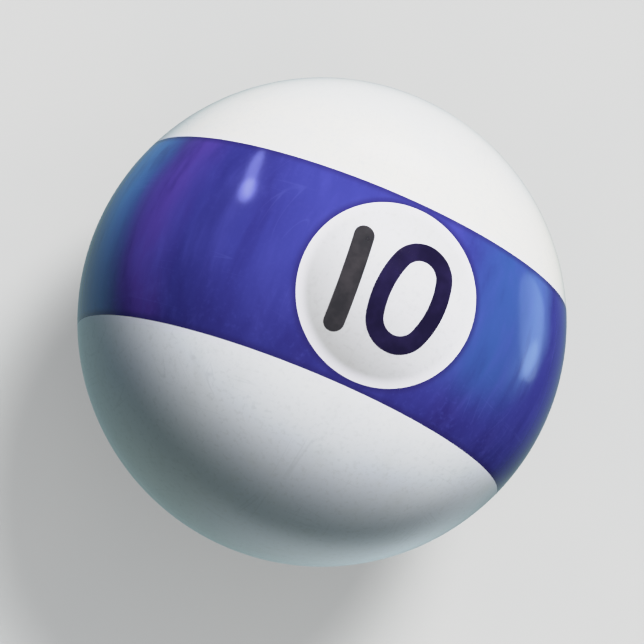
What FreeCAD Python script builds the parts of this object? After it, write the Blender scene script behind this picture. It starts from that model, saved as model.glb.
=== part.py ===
import FreeCAD, Part
import math
import os

import Sketcher
from FreeCAD import Placement, Rotation, Vector

# A striped pool ball, number ten, as the pieces it is cast from: a white body with a groove
# round it, a coloured ring that fills the groove, and a number disc in a pocket on each side
# of the ring. A disc's black numerals run through its whole depth, so the middle of the nought
# is a loose white plug. Every piece is cast a little proud and ground to one true sphere.
#
# The origin is the ball's centre. +Z points out through the middle of the upper number disc,
# +Y along the stripe's axis, towards the top of the numerals, and +X to the reader's right.

# Alias, value and meaning of each driving dimension, in millimetres or degrees.
DRIVING_DIMENSIONS = (
    ("ball_diameter", 57.15, "tournament size, 2 1/4 inches"),
    ("cast_excess", 1.0, "how far a casting stands proud of the ball before grinding"),
    ("grinding_reach", 4.0, "thickness of the shell that grinding clears"),
    ("stripe_width", 22.6, "between the stripe's two edges, along its axis"),
    ("groove_floor_radius", 20.5, "from the stripe's axis to the floor of its groove"),
    ("groove_corner_radius", 1.0, "round along both corners of the groove's floor"),
    ("disc_diameter", 21.0, "number disc, across its cylindrical wall"),
    ("disc_depth", 5.0, "from the middle of the disc's face to its flat back"),
    ("insert_turn", 5.0, "number insert, anticlockwise from the stripe's axis"),
    ("numeral_rise", 0.2, "middle of both numerals, above the disc's middle"),
    ("one_offset", -4.9, "middle of the 1, to the right of the disc's middle"),
    ("one_lean", 2.6, "the 1, clockwise in the insert"),
    ("one_length", 12.7, "over both rounded ends of the 1"),
    ("one_stroke", 2.35, "width of the 1"),
    ("zero_offset", 2.3, "middle of the 0, to the right of the disc's middle"),
    ("zero_lean", 9.8, "the 0, clockwise in the insert"),
    ("zero_length", 13.2, "over the 0, top to bottom"),
    ("zero_width", 8.8, "over the 0, side to side"),
    ("zero_end_radius", 4.0, "outer arc at the top and bottom of the 0"),
    ("zero_stroke", 2.05, "width of the 0's line"),
)

# How a sketch numbers its origin, its axes and the points of a curve.
ORIGIN_POINT = (-1, 1)
VERTICAL_AXIS = -2
START, END, CENTRE = 1, 2, 3

FULL_TURN = 360.0
HALF_TURN = 180.0
QUARTER = math.pi / 2

doc = FreeCAD.newDocument("striped_pool_ball")


def make_sheet():
    """The spreadsheet that every sketch and feature reads its sizes from."""
    cells = doc.addObject("Spreadsheet::Sheet", "Dimensions")
    for row, (alias, value, meaning) in enumerate(DRIVING_DIMENSIONS, start=1):
        cells.set(f"A{row}", alias)
        cells.set(f"B{row}", str(value))
        cells.set(f"C{row}", meaning)
        cells.setAlias(f"B{row}", alias)
    doc.recompute()
    return cells


sheet = make_sheet()

# Sizes that more than one sketch or feature is bound to.
BALL_RADIUS = "Dimensions.ball_diameter / 2"
HALF_STRIPE = "Dimensions.stripe_width / 2"
CAST_RADIUS = f"{BALL_RADIUS} + Dimensions.cast_excess"
CLEARED_RADIUS = f"{BALL_RADIUS} + Dimensions.grinding_reach"
POCKET_FLOOR = f"{BALL_RADIUS} - Dimensions.disc_depth"
INSERT_HEIGHT = "Dimensions.disc_depth + Dimensions.cast_excess"

# The same sizes as numbers, where a sketch is first drawn.
ball_radius = sheet.ball_diameter / 2
half_stripe = sheet.stripe_width / 2
cast_radius = ball_radius + sheet.cast_excess
cleared_radius = ball_radius + sheet.grinding_reach


# -------------------------------------------------------------------------- sketch helpers
def origin_feature(body, role):
    """One of the body's own origin planes or axes."""
    return next(f for f in body.Origin.OriginFeatures if f.Role == role)


def new_sketch(body, name, height="0", offset="0", rise="0", lean="0"):
    """A sketch parallel to the body's XY plane: height above it, moved offset to the right and
    rise upwards in it, and turned clockwise by lean."""
    sketch = body.newObject("Sketcher::SketchObject", f"{body.Label}_{name}")
    sketch.AttachmentSupport = [(origin_feature(body, "XY_Plane"), "")]
    sketch.MapMode = "FlatFace"
    sketch.setExpression("AttachmentOffset.Base.x", offset)
    sketch.setExpression("AttachmentOffset.Base.y", rise)
    sketch.setExpression("AttachmentOffset.Base.z", height)
    sketch.setExpression("AttachmentOffset.Rotation.Angle", f"-1 * {lean}")
    return sketch


def add_arc(sketch, centre, radius, start, end):
    circle = Part.Circle(centre, Vector(0, 0, 1), radius)
    return sketch.addGeometry(Part.ArcOfCircle(circle, start, end))


def add_line(sketch, start, end):
    return sketch.addGeometry(Part.LineSegment(start, end))


def bind(sketch, kind, *where, value, size):
    """A dimension bound to the spreadsheet. Value is what the sketch is first drawn at."""
    index = sketch.addConstraint(Sketcher.Constraint(kind, *where, value))
    sketch.setExpression(f"Constraints[{index}]", size)


def join(sketch, kind, *pairs):
    """Joins pairs of curve ends, each end a curve and a point. Kind is Coincident or Tangent."""
    for (one, one_point), (other, other_point) in pairs:
        sketch.addConstraint(Sketcher.Constraint(kind, one, one_point, other, other_point))


def half_circle(sketch, radius, size):
    """The right half of a circle about the sketch's origin, from bottom to top."""
    arc = add_arc(sketch, Vector(), radius, -QUARTER, QUARTER)
    sketch.addConstraint(Sketcher.Constraint("Coincident", arc, CENTRE, *ORIGIN_POINT))
    for point in (START, END):
        sketch.addConstraint(Sketcher.Constraint("PointOnObject", arc, point, VERTICAL_AXIS))
    bind(sketch, "Radius", arc, value=radius, size=size)
    return arc


# ---------------------------------------------------------------------------- the outlines
def draw_half_ball(sketch):
    """Half of the ball's own section."""
    arc = half_circle(sketch, ball_radius, BALL_RADIUS)
    axis = add_line(sketch, Vector(0, ball_radius), Vector(0, -ball_radius))
    join(sketch, "Coincident", ((arc, END), (axis, START)), ((axis, END), (arc, START)))


def draw_cleared_shell(sketch):
    """Half of the section of what grinding takes off: a shell just outside the ball."""
    inner = half_circle(sketch, ball_radius, BALL_RADIUS)
    outer = half_circle(sketch, cleared_radius, CLEARED_RADIUS)
    top = add_line(sketch, Vector(0, ball_radius), Vector(0, cleared_radius))
    bottom = add_line(sketch, Vector(0, -cleared_radius), Vector(0, -ball_radius))
    join(
        sketch,
        "Coincident",
        ((inner, END), (top, START)),
        ((top, END), (outer, END)),
        ((outer, START), (bottom, START)),
        ((bottom, END), (inner, START)),
    )


def draw_stripe_section(sketch):
    """The stripe's section: a rectangle from the groove's floor to beyond the ball."""
    floor = sheet.groove_floor_radius
    corners = [
        Vector(floor, -half_stripe),
        Vector(cast_radius, -half_stripe),
        Vector(cast_radius, half_stripe),
        Vector(floor, half_stripe),
    ]
    sides = [add_line(sketch, a, b) for a, b in zip(corners, corners[1:] + corners[:1])]
    bottom, outside, top, inside = sides
    for side, following in zip(sides, sides[1:] + sides[:1]):
        join(sketch, "Coincident", ((side, END), (following, START)))
    for side in (bottom, top):
        sketch.addConstraint(Sketcher.Constraint("Horizontal", side))
    for side in (outside, inside):
        sketch.addConstraint(Sketcher.Constraint("Vertical", side))
    inner_corner = (inside, END)
    outer_corner = (top, START)
    from_origin = (*ORIGIN_POINT, *outer_corner)
    bind(sketch, "DistanceX", *from_origin, value=cast_radius, size=CAST_RADIUS)
    bind(sketch, "DistanceY", *from_origin, value=half_stripe, size=HALF_STRIPE)
    bind(
        sketch,
        "DistanceX",
        *ORIGIN_POINT,
        *inner_corner,
        value=floor,
        size="Dimensions.groove_floor_radius",
    )
    bind(
        sketch,
        "DistanceY",
        *inner_corner,
        *ORIGIN_POINT,
        value=half_stripe,
        size=HALF_STRIPE,
    )


def draw_disc(sketch):
    """The number disc's round outline."""
    circle = sketch.addGeometry(
        Part.Circle(Vector(), Vector(0, 0, 1), sheet.disc_diameter / 2)
    )
    sketch.addConstraint(Sketcher.Constraint("Coincident", circle, CENTRE, *ORIGIN_POINT))
    bind(
        sketch,
        "Diameter",
        circle,
        value=sheet.disc_diameter,
        size="Dimensions.disc_diameter",
    )


def draw_bar(sketch):
    """The 1: a straight bar, along the sketch's Y axis, with a half round at each end."""
    radius = sheet.one_stroke / 2
    reach = sheet.one_length / 2 - radius
    reach_size = "(Dimensions.one_length - Dimensions.one_stroke) / 2"
    top = add_arc(sketch, Vector(0, reach), radius, 0, math.pi)
    left = add_line(sketch, Vector(-radius, reach), Vector(-radius, -reach))
    bottom = add_arc(sketch, Vector(0, -reach), radius, math.pi, 2 * math.pi)
    right = add_line(sketch, Vector(radius, -reach), Vector(radius, reach))
    loop = (top, left, bottom, right)
    for side, following in zip(loop, loop[1:] + loop[:1]):
        join(sketch, "Tangent", ((side, END), (following, START)))
    for arc in (top, bottom):
        sketch.addConstraint(Sketcher.Constraint("PointOnObject", arc, CENTRE, VERTICAL_AXIS))
        bind(sketch, "Radius", arc, value=radius, size="Dimensions.one_stroke / 2")
    bind(sketch, "DistanceY", *ORIGIN_POINT, top, CENTRE, value=reach, size=reach_size)
    bind(sketch, "DistanceY", bottom, CENTRE, *ORIGIN_POINT, value=reach, size=reach_size)


def draw_oval(sketch, inset=0.0, inset_size="0"):
    """The 0's outer edge or, inset by the line's width, its inner edge: an oval of four arcs,
    longest along the sketch's Y axis. An inset edge keeps the outer one's centres."""
    half_width = sheet.zero_width / 2
    end_radius = sheet.zero_end_radius
    end_reach = sheet.zero_length / 2 - end_radius
    # The side arc's centre lies as far beyond the middle as makes both arcs tangent.
    squares = half_width**2 + end_reach**2 - end_radius**2
    side_radius = squares / (2 * (half_width - end_radius))
    side_reach = side_radius - half_width

    turn = math.atan2(end_reach, side_reach)
    ends_radius = end_radius - inset
    sides_radius = side_radius - inset
    right = add_arc(sketch, Vector(-side_reach, 0), sides_radius, -turn, turn)
    top = add_arc(sketch, Vector(0, end_reach), ends_radius, turn, math.pi - turn)
    left = add_arc(sketch, Vector(side_reach, 0), sides_radius, math.pi - turn, math.pi + turn)
    bottom = add_arc(sketch, Vector(0, -end_reach), ends_radius, math.pi + turn, -turn)
    loop = (right, top, left, bottom)
    for side, following in zip(loop, loop[1:] + loop[:1]):
        join(sketch, "Tangent", ((side, END), (following, START)))

    reach_size = "(Dimensions.zero_length / 2 - Dimensions.zero_end_radius)"
    width_size = "Dimensions.zero_width / 2"
    squares_size = f"({width_size}) ^ 2 + {reach_size} ^ 2 - Dimensions.zero_end_radius ^ 2"
    side_size = (
        f"({squares_size}) / (Dimensions.zero_width - 2 * Dimensions.zero_end_radius)"
        f" - {width_size}"
    )
    for arc in (top, bottom):
        sketch.addConstraint(Sketcher.Constraint("PointOnObject", arc, CENTRE, VERTICAL_AXIS))
        bind(
            sketch,
            "Radius",
            arc,
            value=ends_radius,
            size=f"Dimensions.zero_end_radius - {inset_size}",
        )
    bind(sketch, "DistanceY", *ORIGIN_POINT, top, CENTRE, value=end_reach, size=reach_size)
    bind(sketch, "DistanceY", bottom, CENTRE, *ORIGIN_POINT, value=end_reach, size=reach_size)
    bind(sketch, "DistanceX", right, CENTRE, *ORIGIN_POINT, value=side_reach, size=side_size)
    bind(sketch, "DistanceX", *ORIGIN_POINT, left, CENTRE, value=side_reach, size=side_size)


def draw_inner_oval(sketch):
    """The edge of the hole through the 0, which its loose centre fills."""
    draw_oval(sketch, sheet.zero_stroke, "Dimensions.zero_stroke")


def draw_zero(sketch):
    """The 0 itself, between its outer and inner edges."""
    draw_oval(sketch)
    draw_inner_oval(sketch)


# -------------------------------------------------------------------------------- features
def new_body(label):
    body = doc.addObject("PartDesign::Body", label)
    body.Label = label
    return body


def revolve(body, kind, draw, name):
    """A Revolution or Groove right round the stripe's axis."""
    sketch = new_sketch(body, f"{name}_section")
    draw(sketch)
    feature = body.newObject(f"PartDesign::{kind}", f"{body.Label}_{name}")
    feature.Profile = sketch
    feature.ReferenceAxis = (sketch, ["V_Axis"])
    feature.Angle = FULL_TURN
    return feature


def pad_insert(body, draw, **place):
    """A cast insert of the drawn outline, from the pocket's floor to proud of the ball."""
    sketch = new_sketch(body, "outline", height=POCKET_FLOOR, **place)
    draw(sketch)
    pad = body.newObject("PartDesign::Pad", f"{body.Label}_casting")
    pad.Profile = sketch
    pad.setExpression("Length", INSERT_HEIGHT)
    return pad


def cut_upwards(body, draw, name, **place):
    """A pocket of the drawn outline, from the pocket floor's height up through the surface."""
    sketch = new_sketch(body, f"{name}_outline", height=POCKET_FLOOR, **place)
    draw(sketch)
    pocket = body.newObject("PartDesign::Pocket", f"{body.Label}_{name}")
    pocket.Profile = sketch
    pocket.Type = "ThroughAll"
    pocket.Reversed = True
    return pocket


def grind(body):
    """Takes off whatever stands proud of the ball."""
    return revolve(body, "Groove", draw_cleared_shell, "grinding")


def round_groove_corners(body, base):
    """Rounds the two circles where the groove's floor meets its walls."""
    doc.recompute()
    corners = []
    for number, edge in enumerate(base.Shape.Edges, start=1):
        round_edge = not edge.Degenerated and isinstance(edge.Curve, Part.Circle)
        if round_edge and math.isclose(edge.Curve.Radius, sheet.groove_floor_radius):
            corners.append(f"Edge{number}")
    if len(corners) != 2:
        raise ValueError(f"{body.Label}: found {len(corners)} groove corners, expected 2")
    fillet = body.newObject("PartDesign::Fillet", f"{body.Label}_corners")
    fillet.Base = (base, corners)
    fillet.setExpression("Radius", "Dimensions.groove_corner_radius")
    return fillet


# ------------------------------------------------------------------------------ the pieces
def make_white_body():
    """The core and both white caps, one casting, with the stripe's groove round it."""
    body = new_body("white_body")
    revolve(body, "Revolution", draw_half_ball, "ball")
    groove = revolve(body, "Groove", draw_stripe_section, "groove")
    round_groove_corners(body, groove)
    return body


def make_stripe_ring():
    """The coloured ring that fills the groove, with a round pocket on each side."""
    body = new_body("stripe_ring")
    ring = revolve(body, "Revolution", draw_stripe_section, "ring")
    round_groove_corners(body, ring)
    grind(body)
    pocket = cut_upwards(body, draw_disc, "pocket")
    pockets = body.newObject("PartDesign::PolarPattern", "stripe_ring_pockets")
    pockets.Originals = [pocket]
    pockets.Axis = (origin_feature(body, "Y_Axis"), [""])
    pockets.Angle = FULL_TURN
    pockets.Occurrences = 2
    body.Tip = pockets
    return body


ONE_PLACE = {
    "offset": "Dimensions.one_offset",
    "rise": "Dimensions.numeral_rise",
    "lean": "Dimensions.one_lean",
}
ZERO_PLACE = {
    "offset": "Dimensions.zero_offset",
    "rise": "Dimensions.numeral_rise",
    "lean": "Dimensions.zero_lean",
}


def make_number_disc(side):
    """The white disc, pierced right through by its two numerals."""
    body = new_body(f"{side}_number_disc")
    pad_insert(body, draw_disc)
    grind(body)
    cut_upwards(body, draw_bar, "one", **ONE_PLACE)
    cut_upwards(body, draw_oval, "zero", **ZERO_PLACE)
    return body


def make_ground_insert(label, draw, place):
    """A casting of one outline, ground flush with the ball."""
    body = new_body(label)
    pad_insert(body, draw, **place)
    grind(body)
    return body


def make_number_insert(side, half_turn):
    """A number disc, its numerals and the nought's loose centre. The insert is turned a little
    in its pocket, and the lower one faces the other way, half a turn about the stripe's axis."""
    turned = Rotation(Vector(0, 0, 1), sheet.insert_turn)
    facing = Rotation(Vector(0, 1, 0), half_turn)
    pieces = [
        make_number_disc(side),
        make_ground_insert(f"{side}_numeral_one", draw_bar, ONE_PLACE),
        make_ground_insert(f"{side}_numeral_zero", draw_zero, ZERO_PLACE),
        make_ground_insert(f"{side}_zero_centre", draw_inner_oval, ZERO_PLACE),
    ]
    for body in pieces:
        body.Placement = Placement(Vector(), facing * turned)
    return pieces


# ---------------------------------------------------------------------- checks and writing
def check_document():
    for thing in doc.Objects:
        if "Invalid" in thing.State or "Error" in thing.State:
            raise ValueError(f"{thing.Label} did not recompute: {thing.State}")
        if thing.isDerivedFrom("Sketcher::SketchObject") and not thing.FullyConstrained:
            raise ValueError(f"{thing.Label} is not fully constrained")


def check_cuts():
    """A pocket or groove that points away from the solid cuts nothing, and says nothing."""
    cutting = ("PartDesign::Pocket", "PartDesign::Groove", "PartDesign::PolarPattern")
    for thing in doc.Objects:
        if thing.TypeId in cutting:
            before = thing.BaseFeature.Shape.Volume
            after = thing.Shape.Volume
            print(f"{thing.Label}: {before:.2f} to {after:.2f} cubic mm")
            if after > before - 1.0:
                raise ValueError(f"{thing.Label} cut nothing")


def check_pieces(pieces):
    """Each piece is one valid solid, and together they fill the ball exactly."""
    for body in pieces:
        shape = body.Shape
        if shape.isNull() or not shape.isValid() or len(shape.Solids) != 1:
            raise ValueError(f"{body.Label} is not one valid solid")
    filled = sum(body.Shape.Volume for body in pieces)
    ball = 4 / 3 * math.pi * ball_radius**3
    print(f"pieces {filled:.3f}, whole ball {ball:.3f} cubic mm")
    if not math.isclose(filled, ball, rel_tol=1e-6):
        raise ValueError("the pieces leave a gap in the ball or overlap")


def write_pieces(pieces):
    os.makedirs("parts", exist_ok=True)
    for body in pieces:
        body.Shape.exportStep(os.path.join("parts", f"{body.Label}.step"))


def main():
    pieces = [make_white_body(), make_stripe_ring()]
    for side, half_turn in (("upper", 0.0), ("lower", HALF_TURN)):
        pieces += make_number_insert(side, half_turn)
    doc.recompute()
    check_document()
    check_cuts()
    check_pieces(pieces)
    write_pieces(pieces)


main()
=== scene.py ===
import math

import bmesh
import bpy
import numpy as np
from mathutils import Matrix, Vector
from mathutils.geometry import delaunay_2d_cdt


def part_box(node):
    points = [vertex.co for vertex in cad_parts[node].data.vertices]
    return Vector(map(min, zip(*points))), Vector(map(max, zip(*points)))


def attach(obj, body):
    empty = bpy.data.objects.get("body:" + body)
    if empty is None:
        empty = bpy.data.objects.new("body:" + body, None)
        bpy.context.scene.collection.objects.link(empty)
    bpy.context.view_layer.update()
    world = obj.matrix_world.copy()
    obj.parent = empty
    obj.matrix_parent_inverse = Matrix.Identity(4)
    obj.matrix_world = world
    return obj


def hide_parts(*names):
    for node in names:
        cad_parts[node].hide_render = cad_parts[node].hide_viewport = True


# The looks of a striped pool ball: every cast piece rebuilt as a dense, closed mesh whose outer
# face has its corners on the ball, each in polished resin, and round it a pale floor, dim
# surroundings, a few lights, a camera and a tone curve. Everything is in metres, in the model's
# own frame: +Z out through the upper number disc and +Y along the stripe's axis.

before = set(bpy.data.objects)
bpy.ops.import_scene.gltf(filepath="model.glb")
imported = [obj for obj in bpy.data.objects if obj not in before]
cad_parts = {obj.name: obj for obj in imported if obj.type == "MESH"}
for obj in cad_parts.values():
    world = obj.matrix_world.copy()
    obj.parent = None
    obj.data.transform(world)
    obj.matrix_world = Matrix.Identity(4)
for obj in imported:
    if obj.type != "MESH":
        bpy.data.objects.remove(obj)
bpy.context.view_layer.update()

# ------------------------------------------------------------------- sizes, in metres
# Read from the frame.
BALL_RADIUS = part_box("white_body")[1].y
HALF_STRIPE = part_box("stripe_ring")[1].y
DISC_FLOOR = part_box("upper_number_disc")[0].z

# As in the part's own dimensions.
DISC_RADIUS = 0.0105
GROOVE_RADIUS = 0.0205
GROOVE_CORNER = 0.001
INSERT_TURN = math.radians(5.0)
NUMERAL_RISE = 0.0002  # of both numerals' middles above the disc's
# Each numeral's offset to the reader's right, its lean clockwise, and its outline's sizes.
ONE = {"offset": -0.0049, "lean": math.radians(2.6), "length": 0.0127, "stroke": 0.00235}
ZERO = {
    "offset": 0.0023,
    "lean": math.radians(9.8),
    "length": 0.0132,
    "width": 0.0088,
    "end_radius": 0.004,
    "stroke": 0.00205,
}

# How fine the meshes are.
GRAIN = 0.0007  # triangle side on the body and the stripe
DISC_GRAIN = 0.00055
NUMERAL_GRAIN = 0.00042
EDGE_CLEARANCE = 0.62  # how far in from an outline its inner points start, in triangle sides
NUMERAL_STEP = 0.00022  # along a numeral's outline
WALL_STEP = 0.001  # down a hidden wall
EDGE_COUNT = 256  # points round each edge of the stripe
DISC_COUNT = 144  # points round a number disc
WELD = 1e-7  # points this close become one
ON_BALL = 10 * WELD  # how near the ball's surface a point of an outer face lies

# What half a turn about +Y does to a point.
HALF_TURN_ABOUT_Y = np.array([-1.0, 1.0, -1.0])


# ------------------------------------------------------------------------ flat outlines
def arc(centre, radius, start, end, step):
    """Points along an arc, from start up to but not including end."""
    count = max(2, math.ceil(abs(end - start) * radius / step))
    angles = np.linspace(start, end, count, endpoint=False)
    return np.stack([np.cos(angles), np.sin(angles)], 1) * radius + centre


def straight(start, end, step):
    """Points along a straight line, from start up to but not including end."""
    start, end = np.array(start), np.array(end)
    count = max(2, math.ceil(np.linalg.norm(end - start) / step))
    share = np.linspace(0, 1, count, endpoint=False)[:, None]
    return start + (end - start) * share


def bar_outline(length, stroke):
    """A straight bar with half-round ends."""
    radius = stroke / 2
    reach = length / 2 - radius
    return np.concatenate(
        [
            arc((0, reach), radius, 0, math.pi, NUMERAL_STEP),
            straight((-radius, reach), (-radius, -reach), NUMERAL_STEP),
            arc((0, -reach), radius, math.pi, 2 * math.pi, NUMERAL_STEP),
            straight((radius, -reach), (radius, reach), NUMERAL_STEP),
        ]
    )


def oval_outline(length, width, end_radius, inset=0.0):
    """An oval of four arcs that meet smoothly. An inset oval keeps the outer one's centres."""
    half_width = width / 2
    end_reach = length / 2 - end_radius
    squares = half_width**2 + end_reach**2 - end_radius**2
    side_radius = squares / (2 * (half_width - end_radius))
    side_reach = side_radius - half_width
    turn = math.atan2(end_reach, side_reach)
    ends, sides = end_radius - inset, side_radius - inset
    return np.concatenate(
        [
            arc((-side_reach, 0), sides, -turn, turn, NUMERAL_STEP),
            arc((0, end_reach), ends, turn, math.pi - turn, NUMERAL_STEP),
            arc((side_reach, 0), sides, math.pi - turn, math.pi + turn, NUMERAL_STEP),
            arc((0, -end_reach), ends, math.pi + turn, 2 * math.pi - turn, NUMERAL_STEP),
        ]
    )


def turned(points, angle):
    """Flat points turned anticlockwise."""
    c, s = math.cos(angle), math.sin(angle)
    return points @ np.array([[c, s], [-s, c]])


def placed(outline, numeral):
    """A numeral's outline where it lies in the turned insert, seen from outside the ball."""
    leaning = turned(outline, -numeral["lean"]) + (numeral["offset"], NUMERAL_RISE)
    return turned(leaning, INSERT_TURN)


def disc_outline():
    """A number disc's round edge."""
    angles = np.arange(DISC_COUNT) * 2 * math.pi / DISC_COUNT
    return np.stack([np.cos(angles), np.sin(angles)], 1) * DISC_RADIUS


# ------------------------------------------------------------------ triangles in outlines
INSIDE_OUTLINES = 1  # the triangulation's number for leaving out what lies outside
TOUCHING = 1e-7  # the triangulation's tolerance, in its own sizes near one


def inside(points, loops):
    """Which points lie inside an odd number of the loops."""
    crossings = np.zeros(len(points), int)
    for loop in loops:
        a, b = loop[None], np.roll(loop, -1, 0)[None]
        x, y = points[:, None, 0], points[:, None, 1]
        spans = (a[..., 1] > y) != (b[..., 1] > y)
        rise = np.where(spans, b[..., 1] - a[..., 1], 1.0)
        meets = a[..., 0] + (y - a[..., 1]) / rise * (b[..., 0] - a[..., 0])
        crossings += (spans & (x < meets)).sum(1)
    return crossings % 2 == 1


def lattice(loops, grain):
    """A triangular lattice of points inside the loops, a little way in from their edges."""
    edge = np.concatenate(loops)
    low, high = edge.min(0), edge.max(0)
    row_height = grain * math.sqrt(3) / 2
    rows = np.arange(low[1] + row_height / 2, high[1], row_height)
    columns = np.arange(low[0], high[0] + grain, grain)
    grid = [
        (column + (number % 2) * grain / 2, row)
        for number, row in enumerate(rows)
        for column in columns
    ]
    points = np.array(grid).reshape(-1, 2)
    points = points[inside(points, loops)]
    if not len(points):
        return points
    nearest = np.min([np.hypot(*(points - e).T) for e in edge], axis=0)
    return points[nearest > EDGE_CLEARANCE * grain]


def triangulate(loops, grain):
    """Points and triangles that fill the first loop and leave out any loops inside it."""
    edges, count = [], 0
    for loop in loops:
        numbers = np.arange(len(loop))
        edges += [(count + i, count + (i + 1) % len(loop)) for i in numbers]
        count += len(loop)
    points = np.concatenate([*loops, lattice(loops, grain)])
    # The triangulation works in single precision, so it is given sizes near one.
    scale = 1 / np.abs(points).max()
    flat = [Vector(p) for p in points * scale]
    found, _, faces, origins, _, _ = delaunay_2d_cdt(flat, edges, [], INSIDE_OUTLINES, TOUCHING)
    if len(found) != len(points):
        raise ValueError("outlines touch or cross")
    order = np.array([came_from[0] for came_from in origins])
    faces = order[np.array(faces)]
    middles = points[faces].mean(1)
    return points, faces[inside(middles, loops)]


# ------------------------------------------------------------------------ closed pieces
class Piece:
    """The patches of one piece, welded into a closed mesh when they are all there."""

    def __init__(self):
        self.points = []
        self.faces = []

    def add(self, points, faces):
        """A patch: its points, and its faces as numbers of those points."""
        first = len(self.points)
        self.points += [tuple(p) for p in points]
        self.faces += [tuple(first + int(i) for i in face) for face in faces]

    def add_strip(self, rings):
        """Quads between rings of points that run side by side."""
        count = len(rings[0])
        faces = []
        for above in range(0, (len(rings) - 1) * count, count):
            below = above + count
            for i in range(count):
                after = (i + 1) % count
                faces.append((above + i, above + after, below + after, below + i))
        self.add(np.concatenate(rings), faces)

    def build(self, name):
        """The object that the patches make. It is an error if they leave an edge open."""
        mesh = bpy.data.meshes.new(name)
        bm = bmesh.new()
        verts = [bm.verts.new(p) for p in self.points]
        for face in self.faces:
            bm.faces.new([verts[i] for i in face])
        bmesh.ops.remove_doubles(bm, verts=bm.verts, dist=WELD)
        bmesh.ops.recalc_face_normals(bm, faces=bm.faces)
        open_edges = sum(len(edge.link_faces) != 2 for edge in bm.edges)
        if open_edges:
            raise ValueError(f"{name} has {open_edges} edges without two faces")
        bm.to_mesh(mesh)
        bm.free()
        round_normals(mesh)
        piece = bpy.data.objects.new(name, mesh)
        bpy.context.scene.collection.objects.link(piece)
        return piece


def round_normals(mesh):
    """The ball's own normals on the outer face, and flat ones on the hidden walls."""
    mesh.shade_smooth()
    points = np.array([v.co for v in mesh.vertices])
    distance = np.linalg.norm(points, axis=1)
    on_ball = np.abs(distance - BALL_RADIUS) < ON_BALL
    normals = []
    for face in mesh.polygons:
        corners = list(face.vertices)
        if on_ball[corners].all():
            normals += [points[i] / distance[i] for i in corners]
        else:
            normals += [face.normal] * len(corners)
    mesh.normals_split_custom_set(normals)


def to_ball(flat):
    """Points seen from above, raised onto the ball."""
    height = np.sqrt(BALL_RADIUS**2 - (flat**2).sum(1))
    return np.column_stack([flat, height])


def to_floor(flat):
    """Points seen from above, on the pocket's floor."""
    return np.column_stack([flat, np.full(len(flat), DISC_FLOOR)])


def wall_rings(flat):
    """Rings of points straight down from the ball's surface to the pocket's floor."""
    top, bottom = to_ball(flat), to_floor(flat)
    count = math.ceil((top[:, 2].max() - DISC_FLOOR) / WALL_STEP)
    return [top + (bottom - top) * share for share in np.linspace(0, 1, count + 1)]


def build_insert(name, loops, grain, facing):
    """A number disc, a numeral or a zero's centre: ground round above and flat below."""
    piece = Piece()
    flat, faces = triangulate(loops, grain)
    piece.add(to_ball(flat) * facing, faces)
    piece.add(to_floor(flat) * facing, faces)
    for loop in loops:
        piece.add_strip([ring * facing for ring in wall_rings(loop)])
    return piece.build(name)


def edge_angles():
    """Where the points of the stripe's edges lie round its axis, from +Z towards +X."""
    return np.arange(EDGE_COUNT) * 2 * math.pi / EDGE_COUNT


def add_groove(piece):
    """The groove's two walls, its rounded corners and its floor, turned round the Y axis."""
    wall_top = math.sqrt(BALL_RADIUS**2 - HALF_STRIPE**2)
    wall_foot = GROOVE_RADIUS + GROOVE_CORNER
    corner_height = HALF_STRIPE - GROOVE_CORNER
    wall = straight((wall_top, HALF_STRIPE), (wall_foot, HALF_STRIPE), WALL_STEP)
    centre = (wall_foot, corner_height)
    corner = arc(centre, GROOVE_CORNER, math.pi / 2, math.pi, WALL_STEP / 4)
    upper = np.concatenate([wall, corner])
    floor = straight((GROOVE_RADIUS, corner_height), (GROOVE_RADIUS, -corner_height), WALL_STEP)
    lower = (upper * (1, -1))[::-1]
    profile = np.concatenate([upper, floor, [(GROOVE_RADIUS, -corner_height)], lower])
    angles = edge_angles()
    rings = [
        np.stack([r * np.sin(angles), np.full(EDGE_COUNT, y), r * np.cos(angles)], 1)
        for r, y in profile
    ]
    piece.add_strip(rings)


def build_white_body():
    """Both caps and the groove between them."""
    piece = Piece()
    from_pole = BALL_RADIUS * math.acos(HALF_STRIPE / BALL_RADIUS)
    angles = edge_angles()
    edge = np.stack([np.sin(angles), np.cos(angles)], 1) * from_pole
    flat, faces = triangulate([edge], GRAIN)
    # Flat distance from the middle is distance over the ball from the cap's pole.
    reach = np.hypot(*flat.T)
    tilt = reach / BALL_RADIUS
    heading = np.where(reach[:, None] > 0, flat / np.maximum(reach, WELD)[:, None], 0)
    ring = np.sin(tilt)[:, None] * heading
    cap = np.column_stack([ring[:, 0], np.cos(tilt), ring[:, 1]]) * BALL_RADIUS
    for side in (1, -1):
        piece.add(cap * (1, side, 1), faces)
    add_groove(piece)
    return piece.build("cast_white_body")


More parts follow.
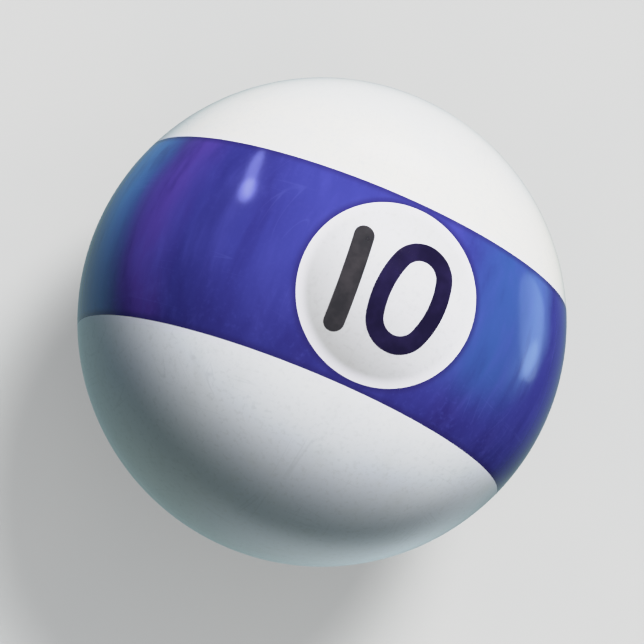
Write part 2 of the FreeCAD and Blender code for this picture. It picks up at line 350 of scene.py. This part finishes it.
def build_stripe_ring():
    """The stripe's outer face in two halves, each with a round pocket, and its hidden sides."""
    piece = Piece()
    half_length = BALL_RADIUS * math.pi / 2
    half_width = BALL_RADIUS * math.asin(HALF_STRIPE / BALL_RADIUS)
    along = np.linspace(-half_length, half_length, EDGE_COUNT // 2 + 1)
    across = np.linspace(-half_width, half_width, math.ceil(2 * half_width / GRAIN) + 1)
    border = np.concatenate(
        [
            np.column_stack([along[:-1], np.full(len(along) - 1, -half_width)]),
            np.column_stack([np.full(len(across) - 1, half_length), across[:-1]]),
            np.column_stack([along[:0:-1], np.full(len(along) - 1, half_width)]),
            np.column_stack([np.full(len(across) - 1, -half_length), across[:0:-1]]),
        ]
    )
    rim = to_ball(disc_outline())
    hole = BALL_RADIUS * np.stack(
        [np.arctan2(rim[:, 0], rim[:, 2]), np.arcsin(rim[:, 1] / BALL_RADIUS)], 1
    )
    flat, faces = triangulate([border, hole], GRAIN)
    turn, rise = (flat / BALL_RADIUS).T
    half = BALL_RADIUS * np.stack(
        [np.cos(rise) * np.sin(turn), np.sin(rise), np.cos(rise) * np.cos(turn)], 1
    )
    floor_flat, floor_faces = triangulate([disc_outline()], 2 * DISC_GRAIN)
    for facing in (1, HALF_TURN_ABOUT_Y):
        piece.add(half * facing, faces)
        piece.add_strip([ring * facing for ring in wall_rings(disc_outline())])
        piece.add(to_floor(floor_flat) * facing, floor_faces)
    add_groove(piece)
    return piece.build("cast_stripe_ring")


def build_number_insert(side, facing):
    """One side's disc, numerals and zero's centre, as {piece's name: object}."""
    bar = placed(bar_outline(ONE["length"], ONE["stroke"]), ONE)
    oval = (ZERO["length"], ZERO["width"], ZERO["end_radius"])
    outer = placed(oval_outline(*oval), ZERO)
    inner = placed(oval_outline(*oval, inset=ZERO["stroke"]), ZERO)
    shapes = {
        "number_disc": ([disc_outline(), bar, outer], DISC_GRAIN),
        "numeral_one": ([bar], NUMERAL_GRAIN),
        "numeral_zero": ([outer, inner], NUMERAL_GRAIN),
        "zero_centre": ([inner], NUMERAL_GRAIN),
    }
    return {
        shape: build_insert(f"cast_{side}_{shape}", loops, grain, facing)
        for shape, (loops, grain) in shapes.items()
    }


# -------------------------------------------------------------------------------- nodes
NOISE_ROUGHNESS = 0.55


class Nodes:
    """A material's nodes, each made in one call that also sets or links its inputs."""

    def __init__(self, tree):
        self.tree = tree

    def add(self, kind, inputs=None, output=0, **settings):
        """The named output of a new node. An input is a value, or another node's output."""
        node = self.tree.nodes.new(kind)
        for name, value in settings.items():
            setattr(node, name, value)
        for name, value in (inputs or {}).items():
            self.feed(node.inputs[name], value)
        return node.outputs[output]

    def feed(self, socket, value):
        """Links another node's output to an input, or sets the input to a value."""
        if isinstance(value, bpy.types.NodeSocket):
            self.tree.links.new(value, socket)
        else:
            socket.default_value = value

    def maths(self, operation, *values):
        """One operation on numbers."""
        inputs = dict(enumerate(values))
        return self.add("ShaderNodeMath", inputs, operation=operation)

    def parts(self, place):
        """A place's X, Y and Z."""
        return self.add("ShaderNodeSeparateXYZ", {"Vector": place}).node.outputs

    def dot(self, place, direction):
        """How far a place lies along a direction."""
        inputs = {0: place, 1: direction}
        return self.add("ShaderNodeVectorMath", inputs, output="Value", operation="DOT_PRODUCT")

    def length(self, place):
        """How far a place is from the origin."""
        return self.add("ShaderNodeVectorMath", {0: place}, output="Value", operation="LENGTH")

    def noise(self, place, size, detail=3.0, stretch=(1, 1, 1), move=0.0):
        """Smooth noise from 0 to 1, whose lumps are about size metres across. Stretch squeezes
        them along X, Y and Z, and move takes another part of the same noise."""
        scale = [s / size for s in stretch]
        at = self.add(
            "ShaderNodeMapping",
            {"Vector": place, "Scale": scale, "Location": (move, 0, 0)},
        )
        return self.add(
            "ShaderNodeTexNoise",
            {"Vector": at, "Scale": 1.0, "Detail": detail, "Roughness": NOISE_ROUGHNESS},
        )

    def ramp(self, value, low, high, out_low=0.0, out_high=1.0):
        """Value taken smoothly from low..high to out_low..out_high, and held outside it."""
        inputs = {
            "Value": value,
            "From Min": low,
            "From Max": high,
            "To Min": out_low,
            "To Max": out_high,
        }
        return self.add("ShaderNodeMapRange", inputs, interpolation_type="SMOOTHSTEP")

    def mix(self, share, one, other):
        """One colour, going over to the other as share goes from 0 to 1."""
        inputs = {"Factor": share, 6: one, 7: other}
        return self.add("ShaderNodeMix", inputs, output=2, data_type="RGBA")


def colour(red, green, blue):
    """A screen colour, each channel from 0 to 255, as the linear colour that shaders take."""
    channels = [
        c / 12.92 if c <= 0.04045 else ((c + 0.055) / 1.055) ** 2.4
        for c in (red / 255, green / 255, blue / 255)
    ]
    return (*channels, 1.0)


# ---------------------------------------------------------------------------- materials
RESIN_IOR = 1.58
CLEAN_ROUGHNESS = 0.10
SMUDGE_ROUGHNESS = 0.05  # what smudges add, at most
GRAIN_ROUGHNESS = 0.03  # what the resin's grain adds, at most
SWELL_HEIGHT = 0.000004  # of the surface's slight swell
HAIRLINE_SHARE = 0.12  # of that height


def polished(name, paint):
    """Cast resin polished to a deep gloss. Paint gives its colour from the nodes and the place.
    Handling leaves faint smudges and hairline scratches, which only the gloss shows."""
    material = bpy.data.materials.new(name)
    material.use_nodes = True
    nodes = Nodes(material.node_tree)
    shader = material.node_tree.nodes["Principled BSDF"]
    place = nodes.add("ShaderNodeTexCoord", output="Object")

    nodes.feed(shader.inputs["Base Color"], paint(nodes, place))
    shader.inputs["IOR"].default_value = RESIN_IOR

    smudges = nodes.ramp(nodes.noise(place, 0.011, detail=4.0, move=3.1), 0.45, 0.75)
    grain = nodes.noise(place, 0.0012, detail=2.0)
    smudged = nodes.maths("MULTIPLY_ADD", smudges, SMUDGE_ROUGHNESS, CLEAN_ROUGHNESS)
    rough = nodes.maths("MULTIPLY_ADD", grain, GRAIN_ROUGHNESS, smudged)
    nodes.feed(shader.inputs["Roughness"], rough)

    swell = nodes.noise(place, 0.0045, detail=1.0, move=7.7)
    hairlines = nodes.noise(place, 0.004, detail=2.0, stretch=(18, 1, 3), move=1.3)
    height = nodes.maths("MULTIPLY_ADD", hairlines, HAIRLINE_SHARE, swell)
    relief = {"Height": height, "Distance": SWELL_HEIGHT, "Strength": 1.0}
    nodes.feed(shader.inputs["Normal"], nodes.add("ShaderNodeBump", relief))
    return material


SPECK_SIZE = 0.00055
SPECK_STRENGTH = 0.45
# A scratch runs where a stretched noise crosses its middle. There are three sets of them, each as
# how far its noise is squeezed along X, Y and Z, and its offset.
SCRATCHES = (((34, 1, 3), 11.7), ((2, 30, 1), 23.9), ((1, 3, 36), 31.3))
SCRATCH_SIZE = 0.045  # of the lumps in that noise
SCRATCH_WIDTH = 0.014  # either way, as a share of the noise's range
SCRATCH_PATCH = 0.009  # of the patches that have scratches
SCRATCH_STRENGTH = 0.22


def close_to(nodes, distance, reach):
    """1 where a distance is nothing, going smoothly to 0 at reach, on either side."""
    return nodes.ramp(nodes.maths("ABSOLUTE", distance), 0.0, reach, 1.0, 0.0)


def stripe_distance(nodes, place):
    """How far a place is from the plane of the nearer edge of the stripe."""
    height = nodes.maths("ABSOLUTE", nodes.parts(place)["Y"])
    return nodes.maths("SUBTRACT", height, HALF_STRIPE)


def disc_distance(nodes, place):
    """How far a place is outside a number disc's edge."""
    flat = nodes.add("ShaderNodeVectorMath", {0: place, 1: (1, 1, 0)}, operation="MULTIPLY")
    return nodes.maths("SUBTRACT", nodes.length(flat), DISC_RADIUS)


def worn(nodes, place, base, speck, scratch):
    """A clean colour with the marks of play on it: a fine speckle and a few thin scratches."""
    grains = nodes.noise(place, SPECK_SIZE, detail=2.0, move=6.3)
    base = nodes.mix(nodes.ramp(grains, 0.5, 0.75, 0, SPECK_STRENGTH), base, speck)
    for stretch, move in SCRATCHES:
        lines = nodes.noise(place, SCRATCH_SIZE, detail=0.0, stretch=stretch, move=move)
        line = close_to(nodes, nodes.maths("SUBTRACT", lines, 0.5), SCRATCH_WIDTH)
        patches = nodes.noise(place, SCRATCH_PATCH, detail=1.0, move=move)
        here = nodes.maths("MULTIPLY", line, nodes.ramp(patches, 0.55, 0.66))
        base = nodes.mix(nodes.maths("MULTIPLY", here, SCRATCH_STRENGTH), base, scratch)
    return base


# How far from its edge each resin's colour changes, and how strongly.
# The white's bluish line along the stripe: partly blue bled into the white, partly a painted
# highlight.
WHITE_EDGE = (0.0011, 0.6)
# A painted highlight round each number disc's edge.
DISC_EDGE = (0.0014, 0.8)
BLUE_EDGE = (0.0009, 0.75)
# Painted shade on both number discs fades out towards this side.
PALER_SIDE = (0.5, 0.87, 0)  # of both number discs, in the model's frame


def paint_white(nodes, place):
    """Warm white in the cap at +Y, as painted warm light, and cooler in the other, as painted cool
    shade, each drifting in broad soft patches.
    It is faintly streaked, and bluest along the stripe, partly from blue bled into the white and
    partly as a painted highlight line along the seam."""
    patches = nodes.ramp(nodes.noise(place, 0.020, move=0.4), 0.35, 0.68)
    streaks = nodes.noise(place, 0.0035, stretch=(1, 0.3, 1), move=5.2)
    # Painted light: the cap at +Y is tinted warm as if in warm light, the other cool as if in
    # shade.
    upper = nodes.ramp(nodes.parts(place)["Y"], -HALF_STRIPE, HALF_STRIPE)
    warm = nodes.mix(patches, colour(243, 240, 232), colour(233, 236, 238))
    cool = nodes.mix(patches, colour(240, 243, 248), colour(233, 237, 246))
    base = nodes.mix(upper, cool, warm)
    base = nodes.mix(nodes.ramp(streaks, 0.5, 0.8, 0, 0.5), base, colour(226, 229, 231))
    base = worn(nodes, place, base, colour(216, 219, 223), colour(192, 196, 202))
    # Along the stripe: partly blue bled into the white, partly a painted highlight line.
    reach, strength = WHITE_EDGE
    edge = close_to(nodes, stripe_distance(nodes, place), reach)
    return nodes.mix(nodes.maths("MULTIPLY", edge, strength), base, colour(240, 240, 253))


def paint_disc(nodes, place):
    """A cooler white than the body's, faintly mottled, greyed towards the numerals' foot by
    painted shade and palest along its edge as a painted highlight."""
    patches = nodes.noise(place, 0.009, detail=4.0, move=2.2)
    base = nodes.mix(nodes.ramp(patches, 0.35, 0.7), colour(224, 225, 236), colour(210, 211, 219))
    base = worn(nodes, place, base, colour(186, 187, 194), colour(180, 181, 186))
    # Painted shade: the disc greys towards the numerals' foot.
    across = nodes.dot(place, PALER_SIDE)
    painted_shade = nodes.ramp(across, -DISC_RADIUS, DISC_RADIUS / 2, 0.85, 0.0)
    base = nodes.mix(painted_shade, base, colour(148, 148, 145))
    # Painted highlight: the disc pales along its edge.
    reach, strength = DISC_EDGE
    edge = close_to(nodes, disc_distance(nodes, place), reach)
    return nodes.mix(nodes.maths("MULTIPLY", edge, strength), base, colour(238, 236, 251))


def paint_charcoal(nodes, place):
    """Charcoal, a little lighter in places."""
    patches = nodes.noise(place, 0.003, move=4.4)
    return nodes.mix(nodes.ramp(patches, 0.35, 0.7), colour(36, 35, 38), colour(52, 49, 52))


def paint_black(nodes, place):
    """Blue-black, a little lighter in places."""
    patches = nodes.noise(place, 0.003, move=4.4)
    return nodes.mix(nodes.ramp(patches, 0.35, 0.75), colour(18, 13, 38), colour(28, 22, 54))


# Bands that run across the stripe, at angles round its axis from the middle of the nearer number
# disc, in degrees: marbling, painted shade, painted reflections and a painted highlight. Each has
# a middle, a reach either way, a strength, a colour
# and, where it stops short of the stripe's edge at -Y, the height above the stripe's middle where
# it fades out, as a share of half the stripe's width.
BANDS = {
    # Painted shade left of the disc.
    "shade": (-46, 13, 0.5, (37, 37, 102), None),
    "violet": (-63, 13, 0.6, (80, 58, 150), None),
    # A painted teal reflection at the stripe's far left end.
    "teal": (-86, 19, 0.75, (60, 132, 212), None),
    # A painted reflection of pale light beside the disc.
    "azure": (30, 21, 0.7, (44, 76, 142), -0.5),
    # A painted highlight streak.
    "pale_streak": (43, 9, 0.35, (92, 128, 200), -0.15),
    "violet_blue": (63, 13, 0.5, (50, 50, 140), None),
}
BAND_FADE = 0.3 * HALF_STRIPE
BAND_WANDER = 0.36  # how far the marbling moves a band, in radians from side to side


def paint_blue(nodes, place):
    """Ultramarine, marbled across the stripe, with bands of painted shade, reflections and a
    highlight, darker along one edge as painted shade, and deeper next to the white.
    """
    parts = nodes.parts(place)
    height = parts["Y"]
    turn = nodes.maths("ARCTAN2", parts["X"], parts["Z"])
    marble = nodes.noise(place, 0.010, stretch=(1, 0.4, 1), move=1.9)
    wander = nodes.maths("MULTIPLY_ADD", nodes.maths("SUBTRACT", marble, 0.5), BAND_WANDER, turn)
    fine = nodes.noise(place, 0.0025, detail=4.0, stretch=(1, 0.2, 1), move=8.1)

    base = nodes.mix(nodes.ramp(marble, 0.3, 0.7), colour(43, 43, 117), colour(50, 53, 133))
    # Painted shade: the stripe darkens towards its edge at -Y.
    low = nodes.ramp(height, -HALF_STRIPE, HALF_STRIPE / 4, 0.9, 0.0)
    low = nodes.maths("MULTIPLY", low, nodes.ramp(marble, 0.35, 0.6, 1.0, 0.45))
    base = nodes.mix(low, base, colour(36, 31, 94))
    base = worn(nodes, place, base, colour(53, 55, 134), colour(74, 78, 160))
    for middle, reach, strength, tint, lowest in BANDS.values():
        off = nodes.maths("SUBTRACT", wander, math.radians(middle))
        # The same bands come round again half a turn on, about the other number disc.
        halves = nodes.maths("ROUND", nodes.maths("DIVIDE", off, math.pi))
        off = nodes.maths("MULTIPLY_ADD", halves, -math.pi, off)
        share = close_to(nodes, off, math.radians(reach))
        if lowest is not None:
            foot = lowest * HALF_STRIPE
            above = nodes.ramp(height, foot - BAND_FADE, foot + BAND_FADE)
            share = nodes.maths("MULTIPLY", share, above)
        base = nodes.mix(nodes.maths("MULTIPLY", share, strength), base, colour(*tint))
    base = nodes.mix(nodes.ramp(fine, 0.45, 0.8, 0, 0.3), base, colour(70, 72, 164))
    base = nodes.mix(nodes.ramp(fine, 0.25, 0.48, 0.35, 0), base, colour(32, 28, 90))

    reach, strength = BLUE_EDGE
    sides = close_to(nodes, stripe_distance(nodes, place), reach)
    rims = close_to(nodes, disc_distance(nodes, place), reach)
    edge = nodes.maths("MULTIPLY", nodes.maths("MAXIMUM", sides, rims), strength)
    return nodes.mix(edge, base, colour(36, 31, 88))


MATERIALS = {
    "white_resin": polished("polished_white_resin", paint_white),
    "blue_resin": polished("polished_blue_resin", paint_blue),
    "disc_resin": polished("polished_disc_resin", paint_disc),
    "charcoal_resin": polished("polished_charcoal_resin", paint_charcoal),
    "black_resin": polished("polished_black_resin", paint_black),
}
# The insert's pieces, each with its material and its slot in the record.
FINISH_OF_SHAPE = {
    "number_disc": ("disc_resin", "disc_resin"),
    "numeral_one": ("charcoal_resin", "black_resin"),
    "numeral_zero": ("black_resin", "black_resin"),
    "zero_centre": ("disc_resin", "disc_resin"),
}


# ------------------------------------------------------------------------------ the ball
def stand_for(piece, node, material, slot):
    """Gives a piece its material, hangs it on the root body and hides the node that it replaces.
    Slot is not used.
    """
    piece.data.materials.append(MATERIALS[material])
    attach(piece, "root")
    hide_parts(node)


def make_ball():
    """The body, the stripe and the two number inserts."""
    stand_for(build_white_body(), "white_body", "white_resin", "white_resin")
    stand_for(build_stripe_ring(), "stripe_ring", "blue_resin", "blue_resin")
    for side, facing in (("upper", 1), ("lower", HALF_TURN_ABOUT_Y)):
        for shape, piece in build_number_insert(side, facing).items():
            stand_for(piece, f"{side}_{shape}", *FINISH_OF_SHAPE[shape])


# ------------------------------------------------------ camera, lights and surroundings
# The view: from the ball's centre towards the camera, and which way is up in the picture.
TOWARDS_CAMERA = Vector((-0.2040, -0.2097, 0.9562)).normalized()
PICTURE_UP = Vector((-0.4064, 0.9068, 0.1122)).normalized()
PICTURE_RIGHT = PICTURE_UP.cross(TOWARDS_CAMERA).normalized()
CAMERA_DISTANCE = 20 * BALL_RADIUS
BALL_SHARE = 0.76  # of the picture's width


def aimed(backwards, upwards=PICTURE_UP):
    """The turn of a camera or light whose back faces backwards."""
    side = upwards.cross(backwards).normalized()
    return Matrix((side, backwards.cross(side), backwards)).transposed().to_4x4()


def make_camera():
    """A long lens, far off, that shows the ball at its share of the picture's width."""
    data = bpy.data.cameras.new("camera")
    half_angle = math.asin(BALL_RADIUS / CAMERA_DISTANCE)
    data.lens = data.sensor_width / 2 * BALL_SHARE / math.tan(half_angle)
    data.clip_start = CAMERA_DISTANCE / 100
    data.clip_end = CAMERA_DISTANCE * 100
    camera = bpy.data.objects.new("camera", data)
    place = Matrix.Translation(TOWARDS_CAMERA * CAMERA_DISTANCE)
    camera.matrix_world = place @ aimed(TOWARDS_CAMERA)
    bpy.context.scene.collection.objects.link(camera)
    bpy.context.scene.camera = camera


def from_picture(right, up, towards):
    """A direction given as the picture shows it."""
    along = PICTURE_RIGHT * right + PICTURE_UP * up + TOWARDS_CAMERA * towards
    return along.normalized()


def add_sun(name, direction, strength, softness, tint):
    """A light from far off in a direction, softness degrees wide. The gloss doesn't mirror it."""
    data = bpy.data.lights.new(name, "SUN")
    data.energy = strength
    data.angle = math.radians(softness)
    data.color = tint[:3]
    sun = bpy.data.objects.new(name, data)
    sun.matrix_world = aimed(direction)
    sun.visible_glossy = False
    bpy.context.scene.collection.objects.link(sun)
    return sun


def mirrored_at(right, up, distance):
    """The place, that far off, which the camera sees mirrored in the ball where the picture
    shows the ball's surface at right, up (in radii from its middle)."""
    normal = from_picture(right, up, math.sqrt(1 - right**2 - up**2))
    direction = 2 * normal.dot(TOWARDS_CAMERA) * normal - TOWARDS_CAMERA
    return normal * BALL_RADIUS + direction * distance


def add_panel(name, ends, distance, width, radiance, tint):
    """A glowing oval panel, whose mirror image runs between two places on the ball."""
    low, high = (mirrored_at(*end, distance) for end in ends)
    middle, along = (low + high) / 2, high - low
    backwards = middle.normalized()
    backwards = (backwards - along * backwards.dot(along) / along.length_squared).normalized()
    data = bpy.data.lights.new(name, "AREA")
    data.shape = "ELLIPSE"
    data.size, data.size_y = width, along.length
    data.energy = radiance * math.pi * width * along.length
    data.color = tint[:3]
    panel = bpy.data.objects.new(name, data)
    panel.matrix_world = Matrix.Translation(middle) @ aimed(backwards, along.normalized())
    # It shows only in the gloss, and leaves the shading to the suns.
    panel.visible_camera = False
    panel.visible_diffuse = False
    bpy.context.scene.collection.objects.link(panel)


KEY_DIRECTION = from_picture(0.45, 0.60, 0.66)
WINDOW_DIRECTION = from_picture(-0.55, 0.83, 0.10)
# Each sun's direction, strength, softness in degrees and tint.
SUNS = {
    "key": (KEY_DIRECTION, 7.8, 22.0, colour(254, 253, 252)),
    "window": (WINDOW_DIRECTION, 0.45, 40.0, colour(176, 188, 255)),
}
LAVENDER = colour(142, 150, 255)
SKY = colour(170, 204, 255)
COOL_WHITE = colour(250, 251, 255)
# Each panel's mirror image, from one place to another (right and up, in radii from the middle of
# the ball in the picture), and the panel's distance, width, radiance and tint.
PANELS = {
    "comma_head": (((-0.308, 0.480), (-0.288, 0.575)), 1.0, 0.12, 9.0, LAVENDER),
    "comma_tail": (((-0.302, 0.500), (-0.240, 0.690)), 1.0, 0.08, 7.5, LAVENDER),
    "streak": (((0.842, -0.240), (0.806, 0.180)), 0.13, 0.055, 1.3, SKY),
    "streak_head": (((0.838, -0.205), (0.832, -0.110)), 0.13, 0.036, 1.4, SKY),
    "softbox": (((0.270, 0.640), (0.300, 0.730)), 1.0, 0.50, 1.6, COOL_WHITE),
}


def make_lights():
    """The suns shade the ball, and the panels only show in its gloss."""
    for name, settings in SUNS.items():
        add_sun(name, *settings)
    for name, settings in PANELS.items():
        add_panel(name, *settings)


BLACK = colour(0, 0, 0)
MIRRORED_DARK = colour(34, 44, 46)
MIRRORED_NEAR_KEY = colour(64, 74, 84)
BACKDROP = colour(232, 233, 234)


def make_world():
    """Dim, cool surroundings, lighter on the key light's side. The camera sees them pale."""
    world = bpy.data.worlds.new("studio")
    world.use_nodes = True
    bpy.context.scene.world = world
    nodes = Nodes(world.node_tree)
    background = world.node_tree.nodes["Background"]
    direction = nodes.add("ShaderNodeTexCoord", output="Generated")
    key_side = nodes.ramp(nodes.dot(direction, KEY_DIRECTION), -0.5, 0.9)
    surround = nodes.mix(key_side, MIRRORED_DARK, MIRRORED_NEAR_KEY)
    to_camera = nodes.add("ShaderNodeLightPath", output="Is Camera Ray")
    nodes.feed(background.inputs["Color"], nodes.mix(to_camera, surround, BACKDROP))


# ----------------------------------------------------------------------------- the floor
FLOOR_HALF = 8.0  # half its width
FLOOR_SQUARES = 8  # along each side of its mesh
FLOOR_PATCH = 0.05  # of its faint unevenness
FLOOR_ROUGHNESS = 0.75
FLOOR_LIFT = colour(122, 123, 123)  # its own glow, to the camera
HORIZON = (0.5, 2.5)  # how far off it starts to fade into the backdrop, and has done so

# Sides of the floor, as the picture shows them.
BRIGHTER_SIDE = from_picture(0.65, -0.76, 0.0)
GLINT_SIDE = from_picture(0.52, -0.85, 0.0)
CAP_SIDE = from_picture(-0.7, -0.7, 0.0)

# Its glow in the ball's gloss and in the ball's shading.
MIRRORED_FLOOR = colour(118, 142, 146)
MIRRORED_GLINT = (1.25, 1.45, 1.55, 1.0)
BOUNCE = colour(78, 99, 82)
BRIGHTER_BOUNCE = colour(182, 196, 192)
UNDER_BALL = colour(40, 44, 44)


def ramp_in_radii(nodes, distance, low, high):
    """From 0 to 1 as a distance goes from low to high, both in radii of the ball."""
    return nodes.ramp(distance, low * BALL_RADIUS, high * BALL_RADIUS)


def floor_in_gloss(nodes, place, brighter):
    """What the gloss mirrors of the floor: a glow near the ball, brightest at the lower right."""
    low_right = ramp_in_radii(nodes, nodes.dot(place, GLINT_SIDE), 0.5, 2.0)
    # The white cap mirrors this glow. The blue stripe would mirror what is cut off here.
    clear_of_stripe = ramp_in_radii(nodes, nodes.dot(place, CAP_SIDE), -0.5, 0.5)
    glinting = nodes.maths("MULTIPLY", low_right, clear_of_stripe)
    glint = nodes.mix(glinting, MIRRORED_FLOOR, MIRRORED_GLINT)
    glow = nodes.mix(brighter, MIRRORED_FLOOR, glint)
    return nodes.mix(ramp_in_radii(nodes, nodes.length(place), 1.2, 3.5), glow, MIRRORED_DARK)


def floor_to_ball(nodes, place, to_shading):
    """The floor's glow to the ball. The part that shades it is greenish and brighter on one side,
    and the part that its gloss mirrors is another."""
    brighter = ramp_in_radii(nodes, nodes.dot(place, BRIGHTER_SIDE), -1.5, 2.5)
    bounce = nodes.mix(brighter, BOUNCE, BRIGHTER_BOUNCE)
    glow = nodes.mix(to_shading, floor_in_gloss(nodes, place, brighter), bounce)
    # Hardly any light reaches the floor close round the ball's foot.
    return nodes.mix(ramp_in_radii(nodes, nodes.length(place), 0.15, 1.0), UNDER_BALL, glow)


def floor_to_camera(nodes, place):
    """The floor's colour and its own glow, which the camera sees. Far off, the colour goes and the
    glow becomes the backdrop's, so no horizon shows."""
    patches = nodes.ramp(nodes.noise(place, FLOOR_PATCH, detail=4.0), 0.3, 0.7)
    pale = nodes.mix(patches, colour(122, 123, 123), colour(126, 126, 125))
    far = nodes.ramp(nodes.length(place), *HORIZON)
    return nodes.mix(far, pale, BLACK), nodes.mix(far, FLOOR_LIFT, BACKDROP)


def paint_floor():
    """A pale matt floor to the camera. To the ball it is black, with a glow of its own."""
    material = bpy.data.materials.new("floor")
    material.use_nodes = True
    nodes = Nodes(material.node_tree)
    shader = material.node_tree.nodes["Principled BSDF"]
    place = nodes.add("ShaderNodeTexCoord", output="Object")
    path = nodes.add("ShaderNodeLightPath").node.outputs
    seen, lift = floor_to_camera(nodes, place)
    glow = floor_to_ball(nodes, place, path["Is Diffuse Ray"])
    to_camera = path["Is Camera Ray"]
    nodes.feed(shader.inputs["Base Color"], nodes.mix(to_camera, BLACK, seen))
    nodes.feed(shader.inputs["Emission Color"], nodes.mix(to_camera, glow, lift))
    shader.inputs["Emission Strength"].default_value = 1.0
    shader.inputs["Roughness"].default_value = FLOOR_ROUGHNESS
    shader.inputs["Specular IOR Level"].default_value = 0.0
    return material


def make_floor():
    """A wide flat floor that the ball's lowest point touches."""
    mesh = bpy.data.meshes.new("floor")
    bm = bmesh.new()
    bmesh.ops.create_grid(
        bm, x_segments=FLOOR_SQUARES, y_segments=FLOOR_SQUARES, size=FLOOR_HALF
    )
    bm.to_mesh(mesh)
    bm.free()
    floor = bpy.data.objects.new("floor", mesh)
    floor.location = (0, 0, -BALL_RADIUS)
    bpy.context.scene.collection.objects.link(floor)
    mesh.materials.append(paint_floor())
    light_floor(floor)


# The overhead light's direction, strength, softness in degrees and tint.
OVERHEAD = (Vector((0, 0, 1)), 4.0, 150.0, colour(255, 255, 255))


def light_floor(floor):
    """A wide soft light from straight above, for the floor alone. It keeps the key's shadow
    pale and darkens the floor only close round the ball's foot."""
    alone = bpy.data.collections.new("floor_alone")
    alone.objects.link(floor)
    overhead = add_sun("overhead", *OVERHEAD)
    overhead.light_linking.receiver_collection = alone


# -------------------------------------------------------------------------- the whole
# Points of the tone curve, each as light in the scene and how light it comes out.
TONES = ((0.5, 0.5), (0.8, 0.69), (1.2, 0.785), (1.8, 0.84))
BRIGHTEST = (2.5, 0.88)  # where the curve ends
ALL_CHANNELS = 3  # the number of the curve for red, green and blue together


def set_tones():
    """Highlights roll off gently, as on film, and what is darker stays nearly as it is."""
    settings = bpy.context.scene.view_settings
    settings.view_transform = "Standard"
    settings.use_curve_mapping = True
    curves = settings.curve_mapping
    white_level, end = BRIGHTEST
    curves.white_level = (white_level, white_level, white_level)
    curve = curves.curves[ALL_CHANNELS]
    curve.points[0].location = (0.0, 0.0)
    curve.points[1].location = (1.0, end)
    for light, tone in TONES:
        curve.points.new(light / white_level, tone)
    curves.update()


make_camera()
make_ball()
make_floor()
make_lights()
make_world()
set_tones()
